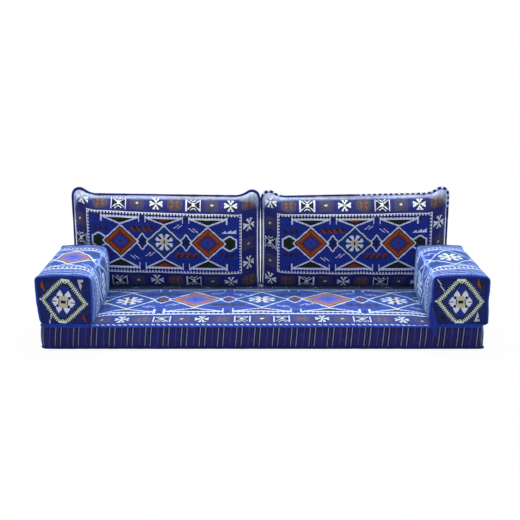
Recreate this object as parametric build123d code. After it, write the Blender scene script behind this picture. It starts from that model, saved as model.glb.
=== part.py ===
from build123d import *
import os

os.makedirs("parts", exist_ok=True)

# Floor sofa: one long seat mattress, two back cushions and two arm cushions that stand loose
# on it. Lengths are in millimetres. X runs along the sofa, it faces -Y, and Z is up from the
# floor. Names that end in share or shares are parts of the size that they go with.

# Cover cloth and welt cord, alike on all five cushions
CLOTH = 1.6
WELT = 7
BACK_WELT = 10
WELT_SEAT = 0.1
REST_GAP = 0.3
OVERRUN = 3

# Seat mattress
SEAT_WIDTH = 1900
SEAT_DEPTH = 700
SEAT_HEIGHT = 105
SEAT_CROWN = 10
SEAT_LEAST_CROWN = 0.2
SEAT_BULGE = 5
SEAT_REAR_FLAT = 3
SEAT_CORNER = 28
SEAT_CROWN_MARGIN = 24

# Back cushions, each a knife-edged case: two crowned faces that meet at the welted seam
BACK_WIDTH = 898
BACK_HEIGHT = 454
BACK_EAR_CLIMB = 105
BACK_EAR_REACH = 125
BACK_THICKNESS = 130
BACK_EDGE = 12
BACK_BASE = 52
BACK_LOW_ROLL = 70
BACK_TOP_ROLL = 95
BACK_DRAW_IN = 8
BACK_EAR_ROUND = 30
BACK_FOOT_CORNER = 16
BACK_SPACE = 1
BACK_FLAT = 1.5
BACK_SEAM_Y = 279

# Arm cushions, boxed, with a welt round each end panel
ARM_WIDTH = 243
ARM_HEIGHT = 220
ARM_LENGTH = 545
ARM_OVERHANG = 20
ARM_SETBACK = 5
ARM_CROWN = 9
ARM_BULGE = 5
ARM_FLAT = 3
ARM_END_CROWN = 8
ARM_TOP_CORNER = 18
ARM_BOTTOM_CORNER = 10

# Loose end of the arm's welt casing, which hangs over the seat's front border
TAIL_LENGTH = 150
TAIL_WIDTH = 40
TAIL_TIP_WIDTH = 14
TAIL_THICKNESS = 3
TAIL_TOP_ABOVE_ARM_BASE = 105
TAIL_SIDEWAYS = 22
TAIL_FORWARD = 4

# Zips: tapes let into a slot in the cover, a chain on them, stops, slider and pull
ZIP_SLOT = 24
ZIP_TAPE = 1
ZIP_TAIL = 12
CHAIN_FOOT = 3.2
CHAIN_FOOT_HEIGHT = 0.8
CHAIN_WIDTH = 5.6
CHAIN_HEIGHT = 2.6
STOP_LENGTH = 4
SLIDER_LENGTH = 12
SLIDER_WALL = 1.2
SLIDER_PLAY = 0.15
SLIDER_END_PLAY = 0.3
BAIL_LENGTH = 9
BAIL_WIDTH = 2.4
BAIL_HEIGHT = 3.2
PIN_DIAMETER = 1.4
PIN_PLAY = 0.1
PULL_SIDE_PLAY = 0.3
PULL_BAR = 1.4
PULL_BAR_LENGTH = 10
PULL_LENGTH = 34
PULL_WIDTH = 8
PULL_HOLE = 3
SEAT_ZIP_END_MARGIN = 250
BACK_ZIP_END_MARGIN = 209
BACK_ZIP_HEIGHT = 96
ARM_ZIP_END_MARGIN = 72.5
ARM_ZIP_HEIGHT = 62

# Sections that the crowns are lofted through, evenly spaced, and how the swelling fades
SEAT_SECTIONS = 17
BACK_SECTIONS = 17
BACK_LEAST_SWELL_SHARE = 0.03

# Stations of the smaller forms: place along the length, then shares of the full size
ARM_RUN_SHARES = ((0, 0.985, 0.985), (0.18, 1, 1), (0.55, 1, 1), (0.82, 0.985, 0.99), (1, 0.90, 0.95))
ARM_CAP_SHARES = ((0, 1), (0.65, 0.86), (1, 0.50))
TAIL_SHARES = ((0, 0), (0.30, 1), (0.62, 0.82), (1, 0.35))

# Places that several pieces share
REACH = SEAT_WIDTH
SEAT_REAR = SEAT_DEPTH / 2 + SEAT_REAR_FLAT
REST_LEVEL = SEAT_HEIGHT + REST_GAP
BACK_X = BACK_WIDTH / 2 + BACK_WELT + WELT_SEAT + BACK_SPACE / 2
ARM_X = SEAT_WIDTH / 2 + ARM_OVERHANG - ARM_WIDTH / 2
ARM_INNER_X = ARM_X - ARM_WIDTH / 2
ARM_FRONT_Y = -SEAT_DEPTH / 2 + ARM_SETBACK
ARM_Y = ARM_FRONT_Y + ARM_LENGTH / 2
SEAT_ZIP = SEAT_WIDTH - 2 * SEAT_ZIP_END_MARGIN
BACK_ZIP = BACK_WIDTH - 2 * BACK_ZIP_END_MARGIN
ARM_ZIP = ARM_LENGTH - 2 * ARM_ZIP_END_MARGIN
SLIDER_TOP = CHAIN_HEIGHT + SLIDER_PLAY + SLIDER_WALL
PIN_LEVEL = SLIDER_TOP + BAIL_HEIGHT / 2


def block(low, high):
    """Box between two opposite corners."""
    middle = [(a + b) / 2 for a, b in zip(low, high)]
    size = [b - a for a, b in zip(low, high)]
    return Pos(*middle) * Box(*size)


def across(x):
    """Plane square to X: its x runs along Y and its y up."""
    return Plane(origin=(x, 0, 0), x_dir=(0, 1, 0), z_dir=(1, 0, 0))


def welt_along(path, width=WELT):
    """Round cord swept along a wire."""
    start = Plane(origin=path @ 0, z_dir=path % 0)
    return sweep(start * Circle(width / 2), path=path)


def save(name, *pieces):
    """Write one node; pieces that lie apart stay separate solids."""
    solids = [solid for piece in pieces for solid in piece.solids()]
    shape = solids[0] if len(solids) == 1 else Compound(children=solids)
    export_step(shape, f"parts/{name}.step")


def zip_pieces(length):
    """Tapes, chain with stops, slider and pull of a zip that lies along X with its face up."""
    chain_half = length / 2 - ZIP_TAIL - STOP_LENGTH
    tapes = [
        block((-length / 2, 0, -ZIP_TAPE), (length / 2, ZIP_SLOT / 2, 0)),
        block((-length / 2, -ZIP_SLOT / 2, -ZIP_TAPE), (length / 2, 0, 0)),
    ]
    foot = block((-chain_half, -CHAIN_FOOT / 2, 0), (chain_half, CHAIN_FOOT / 2, CHAIN_HEIGHT))
    head_low = (-chain_half, -CHAIN_WIDTH / 2, CHAIN_FOOT_HEIGHT)
    head = block(head_low, (chain_half, CHAIN_WIDTH / 2, CHAIN_HEIGHT))
    stop_width = CHAIN_WIDTH + 2 * SLIDER_WALL
    stops = [
        block((x, -stop_width / 2, 0), (x + STOP_LENGTH, stop_width / 2, CHAIN_HEIGHT))
        for x in (-chain_half - STOP_LENGTH, chain_half)
    ]
    slider_start = -chain_half + SLIDER_END_PLAY
    pin_x = slider_start + SLIDER_LENGTH / 2
    return {
        "tapes": tapes,
        "chain": [foot + head, *stops],
        "slider": [zip_slider(slider_start, pin_x)],
        "pull": [zip_pull(pin_x)],
    }


def zip_slider(start, pin_x):
    """Channel that rides on the chain, with a bail on top that holds the pull's pin."""
    end = start + SLIDER_LENGTH
    half = CHAIN_WIDTH / 2 + SLIDER_PLAY + SLIDER_WALL
    body = block((start, -half, SLIDER_PLAY), (end, half, SLIDER_TOP))
    foot_half = CHAIN_FOOT / 2 + SLIDER_PLAY
    foot_way = block((start - OVERRUN, -foot_half, -OVERRUN), (end + OVERRUN, foot_half, CHAIN_HEIGHT))
    head_half = CHAIN_WIDTH / 2 + SLIDER_PLAY
    head_low = (start - OVERRUN, -head_half, CHAIN_FOOT_HEIGHT - SLIDER_PLAY)
    head_way = block(head_low, (end + OVERRUN, head_half, CHAIN_HEIGHT + SLIDER_PLAY))
    bail_low = (pin_x - BAIL_LENGTH / 2, -BAIL_WIDTH / 2, SLIDER_TOP)
    bail_high = (pin_x + BAIL_LENGTH / 2, BAIL_WIDTH / 2, SLIDER_TOP + BAIL_HEIGHT)
    bail = block(bail_low, bail_high)
    eye = Cylinder(PIN_DIAMETER / 2 + PIN_PLAY, BAIL_WIDTH + OVERRUN, rotation=(90, 0, 0))
    return body - foot_way - head_way + bail - Pos(pin_x, 0, PIN_LEVEL) * eye


def zip_pull(pin_x):
    """Pull with a cross pin, two side bars and a rounded tab with a hole."""
    inner = BAIL_WIDTH / 2 + PULL_SIDE_PLAY
    outer = inner + PULL_BAR
    pin = Cylinder(PIN_DIAMETER / 2, 2 * outer, rotation=(90, 0, 0))
    bar = block((0, inner, -PIN_DIAMETER / 2), (PULL_BAR_LENGTH, outer, PIN_DIAMETER / 2))
    tab_start = PULL_BAR_LENGTH - PULL_BAR
    tab_end = PULL_LENGTH - PULL_WIDTH / 2
    tab_low = (tab_start, -PULL_WIDTH / 2, -PIN_DIAMETER / 2)
    tab = block(tab_low, (tab_end, PULL_WIDTH / 2, PIN_DIAMETER / 2))
    tip = Pos(tab_end, 0, 0) * Cylinder(PULL_WIDTH / 2, PIN_DIAMETER)
    hole = Pos(tab_end, 0, 0) * Cylinder(PULL_HOLE / 2, PIN_DIAMETER + OVERRUN)
    return Pos(pin_x, 0, PIN_LEVEL) * (pin + bar + mirror(bar, about=Plane.XZ) + tab + tip - hole)


def zip_slot(length):
    """Cutting block for the slot that a zip's tapes fill, through the cloth alone."""
    return block((-length / 2, -ZIP_SLOT / 2, -CLOTH - OVERRUN), (length / 2, ZIP_SLOT / 2, OVERRUN))


def save_zip(prefix, length, place, flip=False):
    """Write a zip's four nodes at its place on a cover."""
    for name, pieces in zip_pieces(length).items():
        placed = [place * piece for piece in pieces]
        if flip:
            placed = [mirror(piece, about=Plane.YZ) for piece in placed]
        save(f"{prefix}_zip_{name}", *placed)


def spaced(half, count):
    """Evenly spaced places from minus half to half."""
    return [half * (2 * step / (count - 1) - 1) for step in range(count)]


def seat_ring(level, bulge, inset):
    """Level outline of the seat, rounded at its four corners."""
    width = SEAT_WIDTH + 2 * (bulge - inset)
    depth = SEAT_DEPTH + 2 * (bulge - inset)
    return Pos(0, 0, level) * RectangleRounded(width, depth, SEAT_CORNER + bulge - inset)


def crown_section(x, span, inset):
    """Upright section of the crown on the seat's top, which ends in front of the back cushions."""
    place = abs(x) / span
    rise = SEAT_LEAST_CROWN + (SEAT_CROWN - SEAT_LEAST_CROWN) * (1 - place**4) ** 2
    front = -SEAT_DEPTH / 2 + inset
    rear = BACK_SEAM_Y - BACK_BASE / 2 - SEAT_CROWN_MARGIN
    top = SEAT_HEIGHT - inset
    return across(x) * make_face([
        Line((front, top), (rear, top)),
        ThreePointArc((rear, top), ((front + rear) / 2, top + rise), (front, top)),
    ])


def seat_form(inset):
    """Seat mattress, or what lies an inset inside its cover."""
    rings = [(inset, 0), (SEAT_HEIGHT / 2, SEAT_BULGE), (SEAT_HEIGHT - inset, 0)]
    body = loft([seat_ring(level, bulge, inset) for level, bulge in rings])
    span = ARM_INNER_X - SEAT_CROWN_MARGIN
    crown = loft([crown_section(x, span, inset) for x in spaced(span, SEAT_SECTIONS)])
    return (body + crown) & block((-REACH, -REACH, -REACH), (REACH, SEAT_REAR - inset, REACH))


def make_seat():
    """Seat mattress: foam core, top and bottom panels, four borders, two welts and a zip."""
    outer = seat_form(0)
    core = seat_form(CLOTH)
    cover = outer - core
    top_seam = SEAT_HEIGHT - CLOTH
    top = cover & block((-REACH, -REACH, top_seam), (REACH, REACH, REACH))
    bottom = cover & block((-REACH, -REACH, -REACH), (REACH, REACH, CLOTH))
    border = cover & block((-REACH, -REACH, CLOTH), (REACH, REACH, top_seam))
    corner_x = SEAT_WIDTH / 2 - SEAT_CORNER
    zip_place = Plane(origin=(0, SEAT_REAR, SEAT_HEIGHT / 2), x_dir=(1, 0, 0), z_dir=(0, 1, 0))
    save("seat_foam_core", core)
    save("seat_top_panel", top)
    save("seat_bottom_panel", bottom)
    save("seat_front_border", border & block((-corner_x, -REACH, 0), (corner_x, 0, REACH)))
    rear = border & block((-corner_x, 0, 0), (corner_x, REACH, REACH))
    save("seat_rear_border", rear - zip_place * zip_slot(SEAT_ZIP))
    save("seat_left_border", border & block((-REACH, -REACH, 0), (-corner_x, REACH, REACH)))
    save("seat_right_border", border & block((corner_x, -REACH, 0), (REACH, REACH, REACH)))
    for name, level in (("seat_top_welt", SEAT_HEIGHT - WELT / 2), ("seat_bottom_welt", WELT / 2)):
        path = seat_ring(level, 0, 0).faces()[0].outer_wire()
        save(name, welt_along(path) - outer)
    save_zip("seat", SEAT_ZIP, zip_place)


def back_top(x, inset):
    """Height of a back cushion's upper edge, which climbs along an arc into its ears."""
    past = min(abs(x) - BACK_WIDTH / 2, -BACK_EAR_ROUND) + BACK_EAR_REACH
    if past <= 0:
        return BACK_HEIGHT - inset
    radius = (BACK_EAR_REACH**2 + BACK_EAR_CLIMB**2) / (2 * BACK_EAR_CLIMB)
    return BACK_HEIGHT - inset + radius - (radius**2 - past**2) ** 0.5


def back_section(x, inset):
    """Upright section of a back cushion from front to rear, rolled at its foot and its top."""
    place = min(abs(x) / (BACK_WIDTH / 2), 1)
    share = max((1 - place**5) ** 0.6, BACK_LEAST_SWELL_SHARE)
    swell = BACK_THICKNESS - BACK_EDGE
    half = (BACK_EDGE + swell * share) / 2 - inset
    base = (BACK_EDGE + (BACK_BASE - BACK_EDGE) * share) / 2 - inset
    edge = BACK_EDGE / 2 - inset
    top = back_top(x, inset) + OVERRUN
    bottom = inset - OVERRUN
    shoulder = top - BACK_TOP_ROLL
    return across(x) * make_face([
        Line((-base, bottom), (base, bottom)),
        TangentArc((half, BACK_LOW_ROLL), (base, bottom), tangent=(0, -1)),
        Line((half, BACK_LOW_ROLL), (half, shoulder)),
        TangentArc((half, shoulder), (edge, top), tangent=(0, 1)),
        Line((edge, top), (-edge, top)),
        TangentArc((-half, shoulder), (-edge, top), tangent=(0, 1)),
        Line((-half, BACK_LOW_ROLL), (-half, shoulder)),
        TangentArc((-half, BACK_LOW_ROLL), (-base, bottom), tangent=(0, -1)),
    ])


def back_outline(inset):
    """Front view of a back cushion: ears at the top corners and sides drawn in between."""
    half = BACK_WIDTH / 2
    tip = BACK_HEIGHT + BACK_EAR_CLIMB
    waist = (half - BACK_DRAW_IN, tip / 2)
    shoulder = half - BACK_EAR_REACH
    face = make_face([
        Line((-half, 0), (half, 0)),
        ThreePointArc((half, 0), waist, (half, tip)),
        TangentArc((shoulder, BACK_HEIGHT), (half, tip), tangent=(1, 0)),
        Line((shoulder, BACK_HEIGHT), (-shoulder, BACK_HEIGHT)),
        TangentArc((-shoulder, BACK_HEIGHT), (-half, tip), tangent=(-1, 0)),
        ThreePointArc((-half, 0), (-waist[0], waist[1]), (-half, tip)),
    ])
    feet = face.vertices().sort_by(Axis.Y)[:2]
    face = fillet(feet, BACK_FOOT_CORNER)
    tips = face.vertices().sort_by(Axis.Y)[-2:]
    face = fillet(tips, BACK_EAR_ROUND)
    return offset(face, amount=-inset) if inset else face


def back_form(inset):
    """Back cushion, or what lies an inset inside its cover, standing at the origin."""
    stations = spaced(BACK_WIDTH / 2 - inset + OVERRUN, BACK_SECTIONS)
    sections = [back_section(x, inset) for x in stations]
    outline = extrude(Plane.XZ * back_outline(inset), amount=REACH, both=True)
    flat = BACK_THICKNESS / 2 - BACK_FLAT - inset
    return loft(sections) & outline & block((-REACH, -REACH, -REACH), (REACH, flat, REACH))


def make_back(name, x):
    """Back cushion: filled insert, front and rear panels, the seam's welt and a zip."""
    place = Pos(x, BACK_SEAM_Y, REST_LEVEL)
    outer = back_form(0)
    insert = back_form(CLOTH)
    cover = outer - insert
    zip_origin = (0, BACK_THICKNESS / 2 - BACK_FLAT, BACK_ZIP_HEIGHT)
    zip_place = Plane(origin=zip_origin, x_dir=(1, 0, 0), z_dir=(0, 1, 0))
    rear = cover & block((-REACH, 0, -REACH), (REACH, REACH, REACH))
    rim = Plane.XZ * back_outline(-BACK_WELT / 2 - WELT_SEAT)
    path = Wire([edge for edge in rim.edges() if edge.bounding_box().min.Z > 0])
    save(f"{name}_insert", place * insert)
    save(f"{name}_front_panel", place * (cover & block((-REACH, -REACH, -REACH), (REACH, 0, REACH))))
    save(f"{name}_rear_panel", place * (rear - zip_place * zip_slot(BACK_ZIP)))
    save(f"{name}_welt", place * welt_along(path, BACK_WELT))
    save_zip(name, BACK_ZIP, place * Location(zip_place))


def arm_section(width_share, height_share, inset):
    """Section across an arm cushion: crowned top, bulged sides, rounded long corners."""
    half = ARM_WIDTH / 2 * width_share - inset
    top = ARM_HEIGHT * height_share - inset
    middle = top / 2
    face = make_face([
        Line((-half, inset), (half, inset)),
        ThreePointArc((half, inset), (half + ARM_BULGE, middle), (half, top)),
        ThreePointArc((half, top), (0, top + ARM_CROWN), (-half, top)),
        ThreePointArc((-half, top), (-half - ARM_BULGE, middle), (-half, inset)),
    ])
    corners = face.vertices().sort_by(Axis.Y)
    face = fillet(corners[:2], ARM_BOTTOM_CORNER - inset)
    corners = face.vertices().sort_by(Axis.Y)
    return fillet(corners[-2:], ARM_TOP_CORNER - inset)


def arm_cap(share, inset, direction):
    """Crowned end of an arm cushion, inside the ledge that the welt lies on."""
    rim = arm_section(share[1], share[2], inset)
    centre = ARM_HEIGHT * share[2] / 2
    ledge = 1 - 2 * (WELT + CLOTH) / ARM_HEIGHT
    sections = [
        across(direction * (ARM_LENGTH / 2 - inset + ARM_END_CROWN * rise))
        * Pos(0, centre * (1 - ledge * size)) * scale(rim, by=ledge * size)
        for rise, size in ARM_CAP_SHARES
    ]
    return loft(sections)


def arm_form(inset):
    """Arm cushion, or what lies an inset inside its cover: X from front to rear, +Y outside."""
    sections = [
        across((2 * place - 1) * (ARM_LENGTH / 2 - inset)) * arm_section(width, height, inset)
        for place, width, height in ARM_RUN_SHARES
    ]
    front = arm_cap(ARM_RUN_SHARES[0], inset, -1)
    rear = arm_cap(ARM_RUN_SHARES[-1], inset, 1)
    flat = ARM_WIDTH / 2 + ARM_FLAT - inset
    return (loft(sections) + front + rear) & block((-REACH, -REACH, -REACH), (REACH, flat, REACH))


def make_arm(name, flip):
    """Arm cushion: foam core, four long panels, two end panels, two welts and a zip."""
    place = Pos(-ARM_X, ARM_Y, REST_LEVEL) * Rot(0, 0, 90)

    def put(node, piece):
        placed = place * piece
        save(f"{name}_{node}", mirror(placed, about=Plane.YZ) if flip else placed)

    outer = arm_form(0)
    core = arm_form(CLOTH)
    cover = outer - core
    end = ARM_LENGTH / 2 - CLOTH
    body = cover & block((-end, -REACH, -REACH), (end, REACH, REACH))
    top_seam = ARM_HEIGHT - ARM_TOP_CORNER
    bottom_seam = ARM_BOTTOM_CORNER
    sides = body & block((-REACH, -REACH, bottom_seam), (REACH, REACH, top_seam))
    outside = sides & block((-REACH, 0, -REACH), (REACH, REACH, REACH))
    zip_origin = (0, ARM_WIDTH / 2 + ARM_FLAT, ARM_ZIP_HEIGHT)
    zip_place = Plane(origin=zip_origin, x_dir=(1, 0, 0), z_dir=(0, 1, 0))
    put("foam_core", core)
    put("top_panel", body & block((-REACH, -REACH, top_seam), (REACH, REACH, REACH)))
    put("bottom_panel", body & block((-REACH, -REACH, -REACH), (REACH, REACH, bottom_seam)))
    put("inner_panel", sides & block((-REACH, -REACH, -REACH), (REACH, 0, REACH)))
    put("outer_panel", outside - zip_place * zip_slot(ARM_ZIP))
    put("front_panel", cover & block((-REACH, -REACH, -REACH), (-end, REACH, REACH)))
    put("rear_panel", cover & block((end, -REACH, -REACH), (REACH, REACH, REACH)))
    welt_x = ARM_LENGTH / 2 + WELT / 2 + WELT_SEAT
    for node, x, share in (
        ("front_welt", -welt_x, ARM_RUN_SHARES[0]),
        ("rear_welt", welt_x, ARM_RUN_SHARES[-1]),
    ):
        path = across(x) * arm_section(share[1], share[2], WELT / 2)
        put(node, welt_along(path.faces()[0].outer_wire()))
    save_zip(name, ARM_ZIP, place * Location(zip_place), flip)


def make_tail():
    """Loose end of the right arm's welt casing: a soft strip that hangs beside the arm's corner."""
    front = ARM_FRONT_Y - WELT - WELT_SEAT - REST_GAP - TAIL_THICKNESS / 2
    top = REST_LEVEL + TAIL_TOP_ABOVE_ARM_BASE
    sections = []
    for drop, width in TAIL_SHARES:
        size = TAIL_TIP_WIDTH + (TAIL_WIDTH - TAIL_TIP_WIDTH) * width
        centre = (ARM_INNER_X + TAIL_SIDEWAYS * drop, front - TAIL_FORWARD * drop)
        strip = Pos(*centre) * RectangleRounded(size, TAIL_THICKNESS, TAIL_THICKNESS / 3)
        sections.append(Pos(0, 0, top - TAIL_LENGTH * drop) * strip)
    save("right_arm_welt_tail", loft(sections))


make_seat()
make_back("left_back", -BACK_X)
make_back("right_back", BACK_X)
make_arm("left_arm", False)
make_arm("right_arm", True)
make_tail()
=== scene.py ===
"""Looks of the majlis floor sofa: kilim covers, welts, zips and light."""

import math

import bmesh
import bpy
import numpy as np
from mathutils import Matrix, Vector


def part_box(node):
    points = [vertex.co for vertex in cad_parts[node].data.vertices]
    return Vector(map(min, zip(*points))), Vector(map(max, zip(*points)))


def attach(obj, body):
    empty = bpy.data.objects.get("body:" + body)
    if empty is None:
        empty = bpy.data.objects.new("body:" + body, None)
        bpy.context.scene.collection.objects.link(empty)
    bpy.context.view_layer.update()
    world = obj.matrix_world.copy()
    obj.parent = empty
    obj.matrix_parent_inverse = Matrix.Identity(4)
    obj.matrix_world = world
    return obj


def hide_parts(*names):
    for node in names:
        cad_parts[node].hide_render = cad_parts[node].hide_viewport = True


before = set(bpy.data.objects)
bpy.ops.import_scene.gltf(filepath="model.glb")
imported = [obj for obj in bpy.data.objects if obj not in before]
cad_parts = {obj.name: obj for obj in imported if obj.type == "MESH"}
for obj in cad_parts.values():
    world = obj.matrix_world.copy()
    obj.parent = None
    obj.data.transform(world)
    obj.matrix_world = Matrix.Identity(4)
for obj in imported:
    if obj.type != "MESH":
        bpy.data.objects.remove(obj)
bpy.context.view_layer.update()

# Sizes in metres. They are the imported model's, but for the back cushions: the photo has these
# a little narrower and lower, and the right one nearer the middle.
SEAT_HALF = (0.950, 0.350)
SEAT_HEIGHT = 0.105
SEAT_CORNER = 0.028
SEAT_BULGE = 0.005
SEAT_CROWN = 0.010
SEAT_QUADS = (120, 45, 7)
SEAT_REAR = 0.353
CROWN_SPAN = 0.703
CROWN_FRONT = -0.350
CROWN_REAR = 0.229
REST = 0.1053
KEEP_OFF = 0.0003
ARM_X = 0.8485
ARM_Y = -0.0725
ARM_HALF = (0.1215, 0.2725)
ARM_HEIGHT = 0.220
ARM_OUTER_FLAT = 0.003
ARM_QUADS = (22, 48, 20)
# Place along an arm from its front at -1, and its share of the full width and height there
ARM_RUN = ((-1, 0.985, 0.985), (-0.64, 1, 1), (0.1, 1, 1), (0.64, 0.985, 0.99), (1, 0.90, 0.95))
BACK_X = (-0.4585, 0.4455)
BACK_Y = 0.279
BACK_HALF = 0.442
BACK_TOP = 0.447
EAR_CLIMB = 0.105
EAR_REACH = 0.115
EAR_ROUND = 0.030
BACK_DRAW_IN = 0.002
BACK_CLOTH_HALF = (0.468, 0.246)
BACK_THICK = 0.130
BACK_EDGE = 0.012
BACK_BASE = 0.052
BACK_REAR_FLAT = 0.0635
LOW_ROLL = 0.070
TOP_ROLL = 0.095
WELT = 0.0035
FIN = 0.005
CORD_SIDES = 10
WAVES = 7
SIM_FRAMES = 16
ZIP_REACH = 0.014
TOOTH_PITCH = 0.0032
FLOOR_DROP = 0.0005
UV = "OFBake"
QUAD = ((0, 0), (1, 0), (1, 1), (0, 1))

# The kilim's own sizes in metres, at scale 1
STITCH = 0.00375
FRAME_TOOTH = 0.015
MEDALLION_STEP = 0.207
BRACKET_HALF = 0.088
LINE_HALF = 0.0028
EDGE_BAND = 0.013

# Colours as they look in plain light
FIELD = "#162e90"
DEEP = "#0e1e62"
BAND = "#142478"
WHITE = "#c6cce4"
CREAM = "#c6c2ae"
BLACK = "#04040a"
ORANGE = "#a04c1c"
TOP_ORANGE = "#a86c28"
RUST = "#742c1e"
MAROON = "#541c34"
PLUM = "#3e245c"
ROYAL = "#2040a2"
TEAL = "#123c50"
GREEN = "#061c16"
TAUPE = "#4a4646"
BROWN = "#564a30"
MARK = "#b6bdca"
# Painted sheen highlight for the cloth's rolled edges, not a colour of the cloth itself
EDGE_SHEEN = "#7da4f4"
HEM = "#151e6e"

# An orange medallion's inner steps: how far out each reaches, and its colour
BACK_STEPS = ((0.64, RUST), (0.50, PLUM), (0.36, ROYAL), (0.10, MAROON))
TOP_STEPS = ((0.70, "#7a5478"), (0.50, "#5c52a8"), (0.36, "#2c50c4"), (0.10, MAROON))


def linear(code):
    """Linear colour of a #rrggbb code."""
    parts = [int(code[i : i + 2], 16) / 255 for i in (1, 3, 5)]
    light = [p / 12.92 if p <= 0.04045 else ((p + 0.055) / 1.055) ** 2.4 for p in parts]
    return (*light, 1.0)


def feed(tree, node, inputs):
    """Sets inputs of a node, each to a number, a colour or code, or what another node gives."""
    for socket, item in inputs.items():
        item = item.value if isinstance(item, Num) else item
        item = linear(item) if isinstance(item, str) else item
        if isinstance(item, bpy.types.NodeSocket):
            tree.links.new(item, node.inputs[socket])
        else:
            node.inputs[socket].default_value = item


def add_node(tree, kind, inputs=None, **settings):
    """New node with its settings and inputs."""
    node = tree.nodes.new(f"ShaderNode{kind}")
    for key, value in settings.items():
        setattr(node, key, value)
    feed(tree, node, inputs or {})
    return node


def operation(kind):
    """Method of Num that is one kind of Math node."""
    return lambda self, *others: self.calc(kind, *others)


class Num:
    """A number that a material's nodes work out, so that patterns read as plain sums.

    A mask is a number from 0 to 1: & multiplies masks, | takes the larger and ~ is 1 less it."""

    def __init__(self, tree, value):
        self.tree = tree
        self.value = value

    def calc(self, kind, *others):
        inputs = dict(enumerate((self, *others)))
        return Num(self.tree, add_node(self.tree, "Math", inputs, operation=kind).outputs[0])

    __add__ = __radd__ = operation("ADD")
    __sub__ = operation("SUBTRACT")
    __mul__ = __rmul__ = __and__ = operation("MULTIPLY")
    __truediv__ = operation("DIVIDE")
    __lt__ = operation("LESS_THAN")
    __gt__ = operation("GREATER_THAN")
    __abs__ = operation("ABSOLUTE")
    __or__ = most = operation("MAXIMUM")
    least = operation("MINIMUM")
    floor = operation("FLOOR")
    fract = operation("FRACT")

    def __rsub__(self, other):
        return Num(self.tree, other) - self

    def __invert__(self):
        return 1 - self

    def between(self, low, high):
        return (self > low) & (self < high)

    def near(self, place, reach):
        return abs(self - place) < reach

    def steps(self, size):
        """The same number in even steps, as a weave has them."""
        return ((self / size).floor() + 0.5) * size

    def pick(self, where_one, where_zero):
        """One number where this mask is 1 and another where it is 0."""
        return where_zero * ~self + where_one * self


class Paint:
    """A colour that is painted over through masks, one after another."""

    def __init__(self, tree, colour, white=WHITE):
        self.tree = tree
        self.colour = colour
        self.white = white

    def over(self, mask, colour):
        """Paints colour where mask is 1. WHITE stands for the cloth's own white."""
        colour = self.white if colour == WHITE else colour
        inputs = {0: mask, 6: self.colour, 7: colour}
        self.colour = add_node(self.tree, "Mix", inputs, data_type="RGBA").outputs[2]

    def layers(self, where, *pairs):
        """Paints pairs of mask and colour, all inside one mask."""
        for mask, colour in pairs:
            self.over(where & mask, colour)


def new_material(name, inputs):
    """New material with some of its shader's inputs: the material, its tree and its shader."""
    material = bpy.data.materials.new(name)
    material.use_nodes = True
    tree = material.node_tree
    shader = tree.nodes["Principled BSDF"]
    feed(tree, shader, inputs)
    return material, tree, shader


def parts_of(tree, vector):
    """First two parts of a vector that a node gives."""
    split = add_node(tree, "SeparateXYZ", {0: vector})
    return Num(tree, split.outputs[0]), Num(tree, split.outputs[1])


def cloth_material(name, sheen=0.9):
    """An empty cloth material: its tree, its shader and its pattern's two coordinates in metres."""
    looks = {"Sheen Weight": sheen, "Sheen Roughness": 0.32, "Sheen Tint": "#94c2ff"}
    material, tree, shader = new_material(name, looks | {"Specular IOR Level": 0.25})
    return material, tree, shader, *parts_of(tree, add_node(tree, "UVMap", uv_map=UV).outputs[0])


def noise(u, v, scale, stretch=1.0, detail=3.0):
    """Soft noise from 0 to 1 over a pattern's coordinates."""
    join = add_node(u.tree, "CombineXYZ", {0: u * scale, 1: v * (scale * stretch)})
    inputs = {"Scale": 1.0, "Detail": detail, "Vector": join.outputs[0]}
    return Num(u.tree, add_node(u.tree, "TexNoise", inputs, noise_dimensions="2D").outputs[0])


def weave(tree, shader, paint, u, v, rib=0.0026, depth=0.0007):
    """Ends a cloth material: yarn colour changes, painted shade in the grooves of ribs and picks,
    worn bloom, bump and roughness.
    """
    ribs = abs((u / rib).fract() - 0.5) * 2
    picks = abs((v / (rib * 0.55)).fract() - 0.5) * 2
    yarn = noise(u, v, 260, 0.12)
    cloud = noise(u, v, 9)
    # ribs and picks are darker in their grooves, as the bump has them: painted shade; yarn and
    # cloud are the yarn's own tone
    yarn_tone_and_groove_shade = (0.80 + 0.22 * yarn + 0.10 * ribs + 0.10 * cloud) * (0.97 + 0.05 * picks)
    dim = add_node(tree, "VectorMath", {0: paint.colour, "Scale": yarn_tone_and_groove_shade}, operation="SCALE")
    worn = Paint(tree, dim.outputs[0])
    worn.over((noise(u, v, 31, detail=4) - 0.62) * 0.35, "#8f9fd8")
    height = ribs * 0.6 + picks * 0.3 + yarn * 0.5
    bump = add_node(tree, "Bump", {"Strength": 0.7, "Distance": depth, "Height": height})
    rough = 0.74 + 0.16 * yarn
    feed(tree, shader, {"Base Color": worn.colour, "Normal": bump.outputs[0], "Roughness": rough})


def star(paint, p, q):
    """Eight wedge lobes round a pale middle with a dark square, in a square from -1 to 1."""
    a, b = abs(p), abs(q)
    more, less = a.most(b), a.least(b)
    run = more * 0.92 + less * 0.38
    off = abs(less * 0.92 - more * 0.38)
    paint.over(run < 0.74, BLACK)
    paint.over((off < run * 0.29 - 0.05) & run.between(0.3, 0.98), WHITE)
    paint.over(run < 0.42, CREAM)
    paint.over((a < 0.12) & (b < 0.19), BLACK)


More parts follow.
